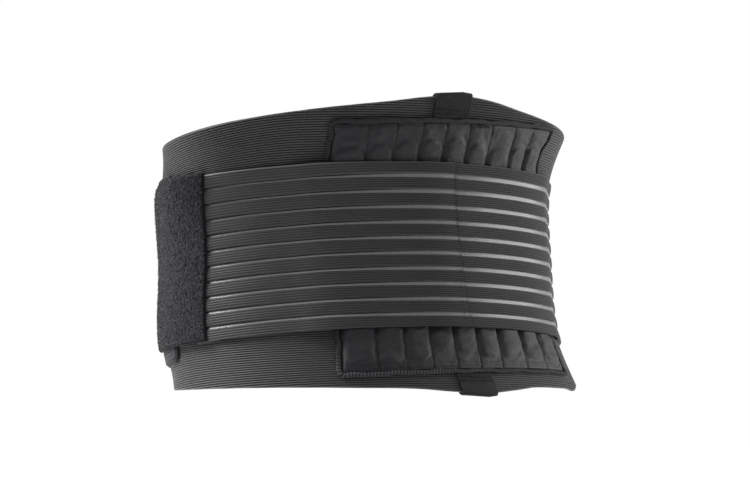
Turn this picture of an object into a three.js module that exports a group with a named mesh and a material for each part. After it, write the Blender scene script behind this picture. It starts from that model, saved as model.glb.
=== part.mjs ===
// A back support brace: a wide elastic belt in the form of a torso, with a padded back panel
// of upright channels, two striped tension bands that close over it, and webbing loops.
// Millimetres. +Z is up, the back faces -Y and the front faces +Y. The origin is the middle
// of the waist opening.
import * as THREE from 'three';

// The torso that the belt fits
const waistHalfWidth = 150;
const waistHalfDepth = 100;
// How far the belt sinks towards the front, for each millimetre of depth
const frontDip = 0.11;

// The main belt
const backHeight = 202;
const beltThickness = 2;
const frontSlit = 6;

// Every layer lies this far off the one below it
const layerGap = 0.35;

// The back pad and its edging
const padWidth = 203;
const padHeight = 177;
const padMiddle = -3;
const padSlant = 0.03;
const padEdgeThickness = 2;
const channelCrown = 1.7;
const channelCount = 9;
const channelEndTaper = 14;
const padHem = 4;
const bindingWidth = 3.6;
const bindingThickness = 2.6;
const bindingCornerRadius = 5;
const bindingStep = 12;

// The tension band, in two halves that lap at the centre back
const bandHeight = 114;
const bandMiddle = -1.7;
const bandDroop = 4.5;
const bandThickness = 1.6;
const bandReach = 190;
const bandLap = 8;
const bandLapRise = 12;
const bandSlope = 28;
const stripeCount = 10;
const stripeWidth = 2.9;
const stripeDepth = 0.8;
const stripeShoulder = 0.3;

// The fleece tabs on the ends of the band
const tabStart = 181;
const tabLength = 82;
const tabHeight = 116;
const tabThickness = 3;
const tabCornerRadius = 14;
const tabBevel = 1.2;

// The closure panels across the front
const panelStart = 222;
const panelHeight = 134;
const panelMiddle = -9;
const panelThickness = 2.2;
const panelCornerRadius = 11;
const panelLap = 30;
const panelLapRise = 16;

// The webbing loops folded over the belt's edges
const loopWidth = 29;
const loopShift = -4;
const loopThickness = 1.4;
const loopInnerLeg = 16;
const loopFold = 1.8;
const loopStations = 5;

// Torso sections from the hips up. Height is a share of the belt's height at the back, the
// half width and depth are shares of the waist's, and shift moves a section forwards by a
// share of the waist's half depth.
const torsoSections = [
  { height: -0.5, width: 1.057, depth: 1.03, shift: -0.33 },
  { height: -0.27, width: 1.032, depth: 1.03, shift: -0.085 },
  { height: 0, width: 1, depth: 1, shift: 0 },
  { height: 0.22, width: 1.025, depth: 0.973, shift: 0.014 },
  { height: 0.45, width: 1.085, depth: 0.943, shift: -0.11 },
];

// The belt's edges from the centre back round to the front. Around is a share of half the
// girth, and top and bottom are shares of the belt's height at the back.
const beltEdges = [
  { around: 0, top: 0.503, bottom: -0.52 },
  { around: 0.07, top: 0.491, bottom: -0.513 },
  { around: 0.14, top: 0.472, bottom: -0.502 },
  { around: 0.25, top: 0.45, bottom: -0.494 },
  { around: 0.4, top: 0.42, bottom: -0.473 },
  { around: 0.55, top: 0.39, bottom: -0.448 },
  { around: 0.75, top: 0.38, bottom: -0.408 },
  { around: 1, top: 0.376, bottom: -0.385 },
];

// The torso is straight between these heights and flat between this many stations round it,
// so that layers laid on it stay parallel.
const stationCount = 60;
const creaseShares = [-0.55, -0.375, -0.28, -0.187, -0.094, 0, 0.094, 0.187, 0.28, 0.37, 0.55];
const creaseHeights = creaseShares.map((share) => share * backHeight);
const creaseMargin = 1;
const rowSpace = 0.4;
const stationMargin = 1.5;

// A smooth value from a table, straight beyond its ends
function fromTable(rows, key, name, at) {
  const last = rows.length - 1;
  const slope = (i, j) => (rows[j][name] - rows[i][name]) / (rows[j][key] - rows[i][key]);
  if (at <= rows[0][key]) return rows[0][name] + slope(0, 1) * (at - rows[0][key]);
  if (at >= rows[last][key]) return rows[last][name] + slope(last - 1, last) * (at - rows[last][key]);
  const i = rows.findIndex((row, index) => index < last && at < rows[index + 1][key]);
  const span = rows[i + 1][key] - rows[i][key];
  const t = (at - rows[i][key]) / span;
  const slopeAt = (k) => slope(Math.max(k - 1, 0), Math.min(k + 1, last));
  const startPull = slopeAt(i) * span;
  const endPull = slopeAt(i + 1) * span;
  const rise = rows[i + 1][name] - rows[i][name];
  return rows[i][name] + startPull * t + (3 * rise - 2 * startPull - endPull) * t * t
    + (startPull + endPull - 2 * rise) * t * t * t;
}

function torsoSectionAt(height) {
  const share = height / backHeight;
  return {
    halfWidth: waistHalfWidth * fromTable(torsoSections, 'height', 'width', share),
    halfDepth: waistHalfDepth * fromTable(torsoSections, 'height', 'depth', share),
    shift: waistHalfDepth * fromTable(torsoSections, 'height', 'shift', share),
  };
}

const creaseSections = creaseHeights.map(torsoSectionAt);

// The section at any height, straight between two creases
function sectionAt(up) {
  const last = creaseHeights.length - 2;
  const above = creaseHeights.findIndex((height) => height > up);
  const i = above < 0 ? last : Math.min(Math.max(above - 1, 0), last);
  const t = (up - creaseHeights[i]) / (creaseHeights[i + 1] - creaseHeights[i]);
  const mix = (name) => THREE.MathUtils.lerp(creaseSections[i][name], creaseSections[i + 1][name], t);
  return { halfWidth: mix('halfWidth'), halfDepth: mix('halfDepth'), shift: mix('shift') };
}

// Arc lengths along the waist, from the centre back, for evenly spaced angles of half a turn
const waistSteps = 720;
const waistArcs = [0];
for (let i = 1; i <= waistSteps; i++) {
  const middle = (i - 0.5) * Math.PI / waistSteps;
  const speed = Math.hypot(waistHalfWidth * Math.cos(middle), waistHalfDepth * Math.sin(middle));
  waistArcs.push(waistArcs[i - 1] + speed * Math.PI / waistSteps);
}
const halfGirth = waistArcs[waistSteps];

// The angle at a distance along the waist, which may run on past the centre front
function angleAt(along) {
  const turns = Math.round(along / (2 * halfGirth));
  const rest = along - turns * 2 * halfGirth;
  const distance = Math.abs(rest);
  const above = Math.max(waistArcs.findIndex((arc) => arc >= distance), 1);
  const i = distance >= halfGirth ? waistSteps : above;
  const t = (distance - waistArcs[i - 1]) / (waistArcs[i] - waistArcs[i - 1]);
  const angle = (i - 1 + t) * Math.PI / waistSteps;
  return Math.sign(rest) * angle + turns * 2 * Math.PI;
}

const stationAngle = 2 * Math.PI / stationCount;

function pointAtAngle(angle, up, out) {
  const { halfWidth, halfDepth, shift } = sectionAt(up);
  const normal = new THREE.Vector2(halfDepth * Math.sin(angle), -halfWidth * Math.cos(angle)).normalize();
  const x = halfWidth * Math.sin(angle) + out * normal.x;
  const y = shift - halfDepth * Math.cos(angle) + out * normal.y;
  return new THREE.Vector3(x, y, up - frontDip * y);
}

// A point at a distance along the waist from the centre back (+ towards +X), at a height on
// the belt, and at a distance out from the torso
function pointAt(along, up, out) {
  const turn = angleAt(along) / stationAngle;
  const station = Math.floor(turn);
  const start = pointAtAngle(station * stationAngle, up, out);
  return start.lerp(pointAtAngle((station + 1) * stationAngle, up, out), turn - station);
}

// The distance along the waist of a station, which may lie past the centre front
function stationAlong(station) {
  const turns = Math.round(station / stationCount);
  const steps = (station - turns * stationCount) * 2 * waistSteps / stationCount;
  return Math.sign(steps) * waistArcs[Math.abs(steps)] + turns * 2 * halfGirth;
}

// The torso's stations from one distance to another, with any others that a piece needs
function stationsAlong(start, end, others = []) {
  const own = [start, ...others, end];
  const shared = [];
  for (let station = -stationCount; station <= stationCount; station++) {
    const along = stationAlong(station);
    const clear = own.every((other) => Math.abs(other - along) > stationMargin);
    if (along > start && along < end && clear) shared.push(along);
  }
  return [...own, ...shared].sort((a, b) => a - b);
}

// Evenly spaced stations between two distances, no further apart than the step
function stationsBetween(start, end, step) {
  const count = Math.max(1, Math.ceil(Math.abs(end - start) / step - 1e-6));
  return Array.from({ length: count + 1 }, (unused, i) => start + (end - start) * i / count);
}

const smoothRise = (value, start, end) => THREE.MathUtils.smoothstep(value, start, end);

function meshGeometry(points, index) {
  const geometry = new THREE.BufferGeometry();
  const positions = points.flatMap((point) => [point.x, point.y, point.z]);
  geometry.setAttribute('position', new THREE.Float32BufferAttribute(positions, 3));
  geometry.setIndex(index);
  geometry.computeVertexNormals();
  return geometry;
}

// Triangles that close the end of a strip, between its outer corners, which rise, and its
// inner ones, which come back down. They stay short, because the torso bends upwards.
function stripCap(outline, outerCount) {
  const faces = [];
  let outer = 0;
  let inner = outline.length - 1;
  while (outer < outerCount - 1 || inner > outerCount) {
    const outerNext = outer < outerCount - 1 ? outline[outer + 1].up : Infinity;
    const innerNext = inner > outerCount ? outline[inner - 1].up : Infinity;
    if (outerNext <= innerNext) {
      faces.push([outer, outer + 1, inner]);
      outer += 1;
    } else {
      faces.push([outer, inner - 1, inner]);
      inner -= 1;
    }
  }
  return faces;
}

function flatCap(outline) {
  const corners = outline.map((corner) => new THREE.Vector2(corner.out, corner.up));
  return THREE.ShapeUtils.triangulateShape(corners, []);
}

// A solid through outlines that all have as many corners. Each outline runs anticlockwise,
// with out to the right and up upwards, and the sections follow each other towards +X at
// the back.
function loft(sections, capOf) {
  const count = sections[0].outline.length;
  const points = sections.flatMap(
    ({ along, outline }) => outline.map((corner) => pointAt(along, corner.up, corner.out)));
  const index = [];
  for (let i = 0; i + 1 < sections.length; i++) {
    for (let j = 0; j < count; j++) {
      const next = (j + 1) % count;
      const a = i * count + j;
      const b = i * count + next;
      const c = a + count;
      const d = b + count;
      const rises = sections[i].outline[next].up > sections[i].outline[j].up;
      if (rises) index.push(a, d, b, a, c, d);
      else index.push(a, c, b, b, c, d);
    }
  }
  const lastStart = (sections.length - 1) * count;
  for (const [a, b, c] of capOf(sections[0].outline)) index.push(a, b, c);
  for (const [a, b, c] of capOf(sections.at(-1).outline)) {
    index.push(lastStart + a, lastStart + c, lastStart + b);
  }
  return meshGeometry(points, index);
}

// A strip of cloth laid round the torso between a bottom and a top edge
function strip({ stations, bottom, top, inside, outerRows }) {
  const ordered = stations.toSorted((a, b) => a - b);
  const lowestBottom = Math.min(...stations.map(bottom)) + creaseMargin;
  const highestTop = Math.max(...stations.map(top)) - creaseMargin;
  const crossed = creaseHeights.filter((height) => height > lowestBottom && height < highestTop);
  const sections = ordered.map((along) => {
    const low = bottom(along);
    const high = top(along);
    const creases = crossed.map((height, i) => THREE.MathUtils.clamp(
      height, low + (i + 1) * rowSpace, high - (crossed.length - i) * rowSpace));
    const inner = [high, ...creases.toReversed(), low].map((up) => ({ out: inside(along), up }));
    return { along, outline: [...outerRows(along, low, high, creases), ...inner] };
  });
  const outerCount = sections[0].outline.length - crossed.length - 2;
  return loft(sections, (outline) => stripCap(outline, outerCount));
}

// How much a rounded corner takes off an edge, at a distance from the piece's end
function cornerCut(distance, radius) {
  if (distance >= radius) return 0;
  return radius - Math.sqrt(radius * radius - (radius - distance) * (radius - distance));
}

function cornerStations(end, inwards, radius) {
  return [0.08, 0.3, 0.62, 1].map((share) => end + inwards * share * radius);
}

const beltSurface = beltThickness + layerGap;

function beltEdge(name, along) {
  const around = Math.abs(along) / halfGirth;
  return backHeight * fromTable(beltEdges, 'around', name, around > 1 ? 2 - around : around);
}

function mainBelt() {
  const end = halfGirth - frontSlit / 2;
  return strip({
    stations: stationsAlong(-end, end),
    bottom: (along) => beltEdge('bottom', along),
    top: (along) => beltEdge('top', along),
    inside: () => 0,
    outerRows: (along, low, high, creases) => [low, ...creases, high].map(
      (up) => ({ out: beltThickness, up })),
  });
}

// The pad lies inside its edging
const padHalfWidth = padWidth / 2 - bindingWidth - layerGap;
const padHalfHeight = padHeight / 2 - bindingWidth - layerGap;
const padCornerRadius = Math.max(bindingCornerRadius - bindingWidth / 2 - layerGap, 0.5);
const channelWidth = 2 * padHalfWidth / channelCount;
const padTop = beltSurface + padEdgeThickness + channelCrown;

function padLineAt(along, fromMiddle) {
  return padMiddle + padSlant * along + fromMiddle;
}

// Each channel swells between its two seams and sinks towards the pad's top and bottom hems.
function backPad() {
  const swell = [{ across: 0, crown: 0 }, { across: 0.16, crown: 0.72 }, { across: 0.5, crown: 1 },
    { across: 0.84, crown: 0.72 }];
  const corner = cornerStations(padHalfWidth, -1, padCornerRadius).slice(1, -1);
  const stations = corner.flatMap((along) => [-along, along]);
  const crowns = new Map(stations.map((along) => [along, 0]));
  for (let channel = 0; channel < channelCount; channel++) {
    for (const { across, crown } of swell) {
      const along = -padHalfWidth + (channel + across) * channelWidth;
      stations.push(along);
      crowns.set(along, crown);
    }
  }
  stations.push(padHalfWidth);
  crowns.set(padHalfWidth, 0);
  const cut = (along) => cornerCut(padHalfWidth - Math.abs(along), padCornerRadius);
  const reach = padHalfHeight - channelEndTaper - padHalfWidth * padSlant - creaseMargin;
  return strip({
    stations,
    bottom: (along) => padLineAt(along, -padHalfHeight) + cut(along),
    top: (along) => padLineAt(along, padHalfHeight) - cut(along),
    inside: () => beltSurface,
    outerRows: (along, low, high, creases) => {
      const flat = beltSurface + padEdgeThickness;
      const full = flat + channelCrown * crowns.get(along);
      const middle = creases.filter((up) => Math.abs(up - padMiddle) < reach);
      return [
        { out: flat, up: low },
        { out: flat, up: low + padHem },
        { out: full, up: low + channelEndTaper },
        ...middle.map((up) => ({ out: full, up })),
        { out: full, up: high - channelEndTaper },
        { out: flat, up: high - padHem },
        { out: flat, up: high },
      ];
    },
  });
}

// The line that the edging follows: the pad's outline with rounded corners, with the
// direction across it pointing away from the pad
function padOutline() {
  const halfWidth = padWidth / 2 - bindingWidth / 2;
  const halfHeight = padHeight / 2 - bindingWidth / 2;
  const radius = bindingCornerRadius;
  const line = [];
  const side = (from, to, angle) => {
    for (const t of stationsBetween(0, from.distanceTo(to), bindingStep).slice(1, -1)) {
      line.push({ at: from.clone().lerp(to, t / from.distanceTo(to)), angle });
    }
  };
  const corners = [[1, -1, -90], [1, 1, 0], [-1, 1, 90], [-1, -1, 180]];
  corners.forEach(([right, upper, start], i) => {
    const centre = new THREE.Vector2(right * (halfWidth - radius), upper * (halfHeight - radius));
    const turn = (degrees) => THREE.MathUtils.degToRad(degrees);
    const radial = (angle) => new THREE.Vector2(radius * Math.cos(angle), radius * Math.sin(angle));
    const round = (angle) => radial(angle).add(centre);
    for (const share of [0, 1 / 3, 2 / 3, 1]) {
      const angle = turn(start + 90 * share);
      line.push({ at: round(angle), angle });
    }
    const [nextRight, nextUpper] = corners[(i + 1) % corners.length];
    const nextX = nextRight * (halfWidth - radius);
    const nextY = nextUpper * (halfHeight - radius);
    const away = turn(start + 90);
    side(round(away), new THREE.Vector2(nextX, nextY).add(radial(away)), away);
  });
  return line;
}

// A rounded bead of overlocked edging, swept once round the pad
function padBinding() {
  const half = bindingWidth / 2;
  const bead = [
    { across: half, out: 0 },
    { across: half, out: 0.55 * bindingThickness },
    { across: 0.45 * half, out: bindingThickness },
    { across: -0.45 * half, out: bindingThickness },
    { across: -half, out: 0.55 * bindingThickness },
    { across: -half, out: 0 },
  ];
  const line = padOutline();
  const count = bead.length;
  const points = line.flatMap(({ at, angle }) => bead.map(({ across, out }) => {
    const along = at.x + across * Math.cos(angle);
    const fromMiddle = at.y + across * Math.sin(angle);
    return pointAt(along, padLineAt(along, fromMiddle), beltSurface + out);
  }));
  const index = [];
  for (let i = 0; i < line.length; i++) {
    for (let j = 0; j < count; j++) {
      const next = (j + 1) % count;
      const after = (i + 1) % line.length;
      const [a, b, c, d] = [i * count + j, i * count + next, after * count + j, after * count + next];
      index.push(a, c, b, b, c, d);
    }
  }
  return meshGeometry(points, index);
}

// The band is tight over the pad, then slopes down to the belt beyond the pad's edging.
const bandOnPad = padTop + layerGap;

function bandInside(along) {
  const edge = padWidth / 2 + layerGap;
  return THREE.MathUtils.lerp(bandOnPad, beltSurface, smoothRise(Math.abs(along), edge, edge + bandSlope));
}

function bandMiddleAt(along) {
  return bandMiddle - bandDroop * (along / bandReach) ** 2;
}

// Dense rows with a sunken sheer stripe between each two
function bandRows(inside, low, high) {
  const scale = (high - low) / bandHeight;
  const denseWidth = (bandHeight - stripeCount * stripeWidth) / (stripeCount + 1);
  const surface = inside + bandThickness;
  const floor = surface - stripeDepth;
  const rows = [{ out: surface, up: low }];
  for (let i = 0; i < stripeCount; i++) {
    const start = low + scale * (denseWidth + i * (denseWidth + stripeWidth));
    const end = start + scale * stripeWidth;
    rows.push({ out: surface, up: start });
    rows.push({ out: floor, up: start + stripeShoulder });
    rows.push({ out: floor, up: end - stripeShoulder });
    rows.push({ out: surface, up: end });
  }
  rows.push({ out: surface, up: high });
  return rows;
}

function bandHalf(start, end, inside, others) {
  return strip({
    stations: stationsAlong(start, end, others),
    bottom: (along) => bandMiddleAt(along) - bandHeight / 2,
    top: (along) => bandMiddleAt(along) + bandHeight / 2,
    inside,
    outerRows: (along, low, high) => bandRows(inside(along), low, high),
  });
}

// The left half lies over the first stretch of the right one.
function tensionBandLeft() {
  const raised = -bandLap - layerGap;
  const start = raised - bandLapRise;
  const rise = bandThickness + layerGap;
  const inside = (along) => bandInside(along) + rise * smoothRise(along, start, raised);
  return bandHalf(-bandReach, 0, inside, [start, raised]);
}

function tensionBandRight() {
  return bandHalf(-bandLap, bandReach, bandInside, []);
}

// A tab covers the end of its band and lies on the front closure panel.
function bandTab(side) {
  const end = tabStart + tabLength;
  const panelSurface = beltSurface + panelThickness + layerGap;
  const bandSurface = beltSurface + bandThickness + layerGap;
  const raised = panelStart - layerGap;
  const others = [tabStart + tabBevel, bandReach, raised, ...cornerStations(end, -1, tabCornerRadius)];
  const stations = stationsAlong(tabStart, end, others).map((along) => side * along);
  const cut = (along) => cornerCut(end - Math.abs(along), tabCornerRadius);
  const inside = (along) => THREE.MathUtils.lerp(bandSurface, panelSurface,
    smoothRise(Math.abs(along), bandReach, raised));
  return strip({
    stations,
    bottom: (along) => bandMiddleAt(along) - tabHeight / 2 + cut(along),
    top: (along) => bandMiddleAt(along) + tabHeight / 2 - cut(along),
    inside,
    outerRows: (along, low, high, creases) => {
      const distance = Math.abs(along);
      const thin = distance === tabStart || distance === end;
      const surface = inside(along) + (thin ? tabThickness - tabBevel : tabThickness);
      return [
        { out: surface - tabBevel, up: low },
        { out: surface, up: low + tabBevel },
        ...creases.map((up) => ({ out: surface, up })),
        { out: surface, up: high - tabBevel },
        { out: surface - tabBevel, up: high },
      ];
    },
  });
}

// A closure panel runs from the side of the belt past the centre front. The left one laps
// over the right one there.
function frontPanel(side, laps) {
  const end = halfGirth + panelLap;
  const raised = halfGirth - panelLap - layerGap;
  const rise = laps ? panelThickness + layerGap : 0;
  const others = [
    raised - panelLapRise,
    raised,
    ...cornerStations(panelStart, 1, panelCornerRadius),
    ...cornerStations(end, -1, panelCornerRadius),
  ];
  const stations = stationsAlong(panelStart, end, others).map((along) => side * along);
  const cut = (along) => cornerCut(Math.abs(along) - panelStart, panelCornerRadius)
    + cornerCut(end - Math.abs(along), panelCornerRadius);
  const inside = (along) => beltSurface
    + rise * smoothRise(Math.abs(along), raised - panelLapRise, raised);
  return strip({
    stations,
    bottom: (along) => panelMiddle - panelHeight / 2 + cut(along),
    top: (along) => panelMiddle + panelHeight / 2 - cut(along),
    inside,
    outerRows: (along, low, high, creases) => [low, ...creases, high].map(
      (up) => ({ out: inside(along) + panelThickness, up })),
  });
}

// A loop of webbing from the pad's edging, over the belt's edge and down its inner side.
// Way is 1 for the top edge and -1 for the bottom one.
function edgeLoop(edgeName, way) {
  const leg = beltSurface + loopThickness;
  const stations = stationsBetween(loopShift - loopWidth / 2, loopShift + loopWidth / 2,
    loopWidth / (loopStations - 1));
  const sections = stations.map((along) => {
    const edge = beltEdge(edgeName, along) + way * layerGap;
    const fold = edge + way * loopFold;
    const start = padLineAt(along, way * (padHeight / 2 + layerGap));
    const innerEnd = edge - way * loopInnerLeg;
    const outline = [
      { out: beltSurface, up: start },
      { out: leg, up: start },
      { out: leg, up: edge },
      { out: leg - 0.6 * loopThickness, up: fold - way * 0.3 * loopFold },
      { out: beltThickness / 2, up: fold },
      { out: -layerGap - 0.4 * loopThickness, up: fold - way * 0.3 * loopFold },
      { out: -layerGap - loopThickness, up: edge },
      { out: -layerGap - loopThickness, up: innerEnd },
      { out: -layerGap, up: innerEnd },
      { out: -layerGap, up: edge },
      { out: beltSurface, up: edge },
    ];
    return { along, outline: way > 0 ? outline : outline.reverse() };
  });
  return loft(sections, flatCap);
}

const elastic = { color: 0x3a3a3d, roughness: 0.75, metalness: 0 };
const padCloth = { color: 0x353538, roughness: 0.6, metalness: 0 };
const edging = { color: 0x2c2c30, roughness: 0.85, metalness: 0 };
const stripedElastic = { color: 0x47474a, roughness: 0.6, metalness: 0 };
const fleece = { color: 0x3c3b42, roughness: 0.95, metalness: 0 };
const webbing = { color: 0x2e2e31, roughness: 0.8, metalness: 0 };

const brace = new THREE.Group();

function addPiece(name, geometry, finish) {
  const mesh = new THREE.Mesh(geometry, new THREE.MeshStandardMaterial(finish));
  mesh.name = name;
  brace.add(mesh);
}

addPiece('main_belt', mainBelt(), elastic);
addPiece('back_pad', backPad(), padCloth);
addPiece('pad_binding', padBinding(), edging);
addPiece('tension_band_left', tensionBandLeft(), stripedElastic);
addPiece('tension_band_right', tensionBandRight(), stripedElastic);
addPiece('band_tab_left', bandTab(-1), fleece);
addPiece('band_tab_right', bandTab(1), fleece);
addPiece('front_panel_left', frontPanel(-1, true), fleece);
addPiece('front_panel_right', frontPanel(1, false), fleece);
addPiece('top_loop', edgeLoop('top', 1), webbing);
addPiece('bottom_loop', edgeLoop('bottom', -1), webbing);

export default brace;
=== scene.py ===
# A back support brace modelled in cloth layers that are cut flat and laid round a torso
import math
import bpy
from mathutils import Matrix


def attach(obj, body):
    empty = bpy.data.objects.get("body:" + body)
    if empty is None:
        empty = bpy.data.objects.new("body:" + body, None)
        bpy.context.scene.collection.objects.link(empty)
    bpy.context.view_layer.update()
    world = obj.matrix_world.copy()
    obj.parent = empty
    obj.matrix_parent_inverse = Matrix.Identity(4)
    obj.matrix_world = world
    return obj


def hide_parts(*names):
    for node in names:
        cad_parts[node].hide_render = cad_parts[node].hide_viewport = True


bl_info = {
    "name": "Back support brace",
    "version": (1, 0, 0),
    "blender": (4, 5, 0),
    "location": "View3D > Sidebar > Brace",
    "description": "Models a back support brace in cloth layers that are laid round a torso",
    "category": "Add Mesh",
}

import bpy
import numpy as np
from bpy.props import FloatProperty, FloatVectorProperty, IntProperty, PointerProperty
from mathutils import Matrix, Vector

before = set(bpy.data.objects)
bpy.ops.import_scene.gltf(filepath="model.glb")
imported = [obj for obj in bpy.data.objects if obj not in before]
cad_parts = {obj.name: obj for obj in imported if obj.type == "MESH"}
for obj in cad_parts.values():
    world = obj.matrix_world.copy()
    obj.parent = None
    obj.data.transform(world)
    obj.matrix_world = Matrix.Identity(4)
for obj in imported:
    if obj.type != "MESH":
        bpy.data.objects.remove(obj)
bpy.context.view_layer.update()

# Torso sections from the hips up. Height is a share of the belt's height at the back, width and
# depth are shares of the waist's half sizes, and shift is a share of its half depth.
TORSO = {
    "height": (-0.5, -0.27, 0.0, 0.22, 0.45),
    "width": (1.057, 1.032, 1.0, 1.025, 1.085),
    "depth": (1.03, 1.03, 1.0, 0.973, 0.943),
    "shift": (-0.33, -0.085, 0.0, 0.014, -0.11),
}
# The belt's edges from the centre back round to the front, as shares of half the girth and of
# the belt's height at the back
EDGES = {
    "around": (0.0, 0.07, 0.14, 0.25, 0.4, 0.55, 0.75, 1.0),
    "top": (0.503, 0.491, 0.472, 0.45, 0.42, 0.39, 0.38, 0.376),
    "bottom": (-0.52, -0.513, -0.502, -0.494, -0.473, -0.448, -0.408, -0.385),
}
# How far the belt's lower edge stands off its even line, along the belt from left to right, in
# metres
SAG = {
    "along": (-0.32, -0.26, -0.18, -0.155, -0.1, 0.0, 0.02, 0.045, 0.095, 0.108, 0.13, 0.2, 0.32),
    "rise": (0.0042, -0.0025, -0.0024, -0.0022, -0.0014, -0.0014, 0.0001, 0.0015, 0.0012, -0.0008, 0.0032,
             0.0055, 0.0042),
}
# Soft swellings under the cloth: where their middles lie, how far they spread and how far they
# stand out, in metres
SWELLINGS = {
    "along": (0.125, 0.130, 0.130, -0.230, -0.235, -0.220),
    "up": (0.002, 0.020, 0.093, 0.083, -0.020, -0.100),
    "width": (0.060, 0.050, 0.045, 0.060, 0.050, 0.060),
    "height": (0.042, 0.070, 0.016, 0.010, 0.070, 0.015),
    "out": (0.0036, 0.0010, 0.0024, 0.0021, -0.0020, 0.0045),
}
# Where the seams between the pad's channels lie, as shares of its width
SEAMS = (0.0, 0.127, 0.230, 0.331, 0.429, 0.532, 0.637, 0.765, 0.875, 1.0)
LAYER_GAP = 0.00035
# How close two points of a laid cloth lie to be one, and the least angle that shows as a crease
SAME_POINT = 0.00012
CREASE = math.radians(72)
CLOTH_MAP = "cloth"


def length(name, description, default):
    return FloatProperty(name=name, description=description, default=default, unit="LENGTH")


def share(name, description, default):
    return FloatProperty(name=name, description=description, default=default)


def colour(name, description, default):
    return FloatVectorProperty(
        name=name, description=description, default=default, subtype="COLOR", min=0, max=1)


class TorsoSettings(bpy.types.PropertyGroup):
    half_width: length("Half width", "Half the torso's width at the waist", 0.150)
    half_depth: length("Half depth", "Half the torso's depth at the waist", 0.100)
    front_dip: share("Front dip", "How far the belt sinks for each metre towards the front", 0.11)
    back_height: length("Back height", "The belt's height at the centre back", 0.202)


class BeltSettings(bpy.types.PropertyGroup):
    thickness: length("Thickness", "The elastic's thickness", 0.002)
    front_slit: length("Front slit", "The slit between the belt's two front ends", 0.006)
    rib_pitch: length("Rib pitch", "The distance between two ribs of the elastic", 0.0016)
    rib_depth: length("Rib depth", "The depth of the grooves between the ribs", 0.0005)
    rib_sink: length("Rib sink", "How far the upper ribs sink towards the sides", 0.012)
    tint: colour("Colour", "The elastic's yarn", (0.0385, 0.0385, 0.0405))
    # The edge colour is a pale line painted along the belt's edges as a highlight.
    edge_highlight_tint: colour("Edge colour", "The pale thread along the edges", (0.10, 0.10, 0.104))


class PadSettings(bpy.types.PropertyGroup):
    width: length("Width", "The pad's width with its edging", 0.198)
    height: length("Height", "The pad's height with its edging", 0.177)
    middle: length("Middle", "The height of the pad's middle", -0.003)
    slant: share("Slant", "How much the pad rises towards the right", 0.03)
    skew: share("Skew", "How much the pad leans right towards its top", 0.038)
    edge_thickness: length("Edge thickness", "The pad's thickness at its seams", 0.002)
    crown: length("Crown", "How far a channel swells out between its seams", 0.0017)
    edging_width: length("Edging width", "The width of the overlocked edging", 0.0032)
    edging_thickness: length("Edging thickness", "How far the edging stands out", 0.0026)
    tint: colour("Colour", "The pad's cloth", (0.0084, 0.0089, 0.0102))
    edging_tint: colour("Edging colour", "The edging's thread", (0.0075, 0.0075, 0.0095))


class BandSettings(bpy.types.PropertyGroup):
    height: length("Height", "The tension band's height", 0.114)
    middle: length("Middle", "The height of the band's middle at the back", -0.0017)
    droop: length("Droop", "How far the band sinks on its way to its tabs", 0.0045)
    thickness: length("Thickness", "The band's thickness", 0.0016)
    reach: length("Reach", "The distance from the centre back to the band's end", 0.190)
    lap: length("Lap", "How far the left half lies over the right one", 0.008)
    seam_slant: length("Seam slant", "How far the seam leans over the band's height", 0.004)
    stripes: IntProperty(name="Stripes", description="Sheer stripes between the rows", default=10)
    stripe_width: length("Stripe width", "The width of a sheer stripe", 0.0033)
    stripe_depth: length("Stripe depth", "How far a stripe is sunk", 0.0008)
    tint: colour("Colour", "The dense rows' yarn", (0.0340, 0.0340, 0.0357))
    stripe_tint: colour("Stripe colour", "The sheer stripes' thread", (0.115, 0.120, 0.122))


class TabSettings(bpy.types.PropertyGroup):
    start: length("Start", "The distance from the centre back to the tab", 0.1788)
    length: length("Length", "The tab's length round the belt", 0.084)
    middle: length("Middle", "The height of the tab's middle", -0.0043)
    height: length("Height", "The tab's height", 0.116)
    thickness: length("Thickness", "The tab's thickness with its pile", 0.0025)
    corner: length("Corner", "The radius of the tab's front corners", 0.014)
    taper: length("Taper", "How long the tab's upper edge takes to fall to its front corner", 0.050)
    fall: length("Fall", "How far the tab's upper edge falls over its taper", 0.034)
    edge: length("Edge", "The rounding of the tab's edge", 0.0022)
    slant: length("Slant", "How far the tab's back edge leans over its height", 0.0035)
    fibres: IntProperty(name="Fibres", description="Loose curled fibres on the pile", default=4500)
    tint: colour("Colour", "The pile's yarn", (0.0162, 0.0157, 0.0196))


class PanelSettings(bpy.types.PropertyGroup):
    start: length("Start", "The distance from the centre back to the panel", 0.2125)
    height: length("Height", "The panel's height", 0.129)
    middle: length("Middle", "The height of the panel's middle", -0.008)
    thickness: length("Thickness", "The panel's thickness", 0.0022)
    corner: length("Corner", "The radius of the panel's corners", 0.009)
    lap: length("Lap", "How far a panel runs past the centre front", 0.030)
    lap_rise: length("Lap rise", "How long the upper panel takes to rise over the other", 0.016)
    tint: colour("Colour", "The brushed pile", (0.018, 0.0175, 0.021))


class LoopSettings(bpy.types.PropertyGroup):
    width: length("Width", "The webbing's width", 0.029)
    shift: length("Shift", "How far the loops lie right of the centre back", -0.0075)
    thickness: length("Thickness", "The webbing's thickness", 0.0014)
    inner_leg: length("Inner leg", "The length of webbing inside the belt", 0.016)
    fold: length("Fold", "How far the fold stands past the belt's edge", 0.0018)
    tint: colour("Colour", "The webbing's yarn", (0.0078, 0.0078, 0.0088))


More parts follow.
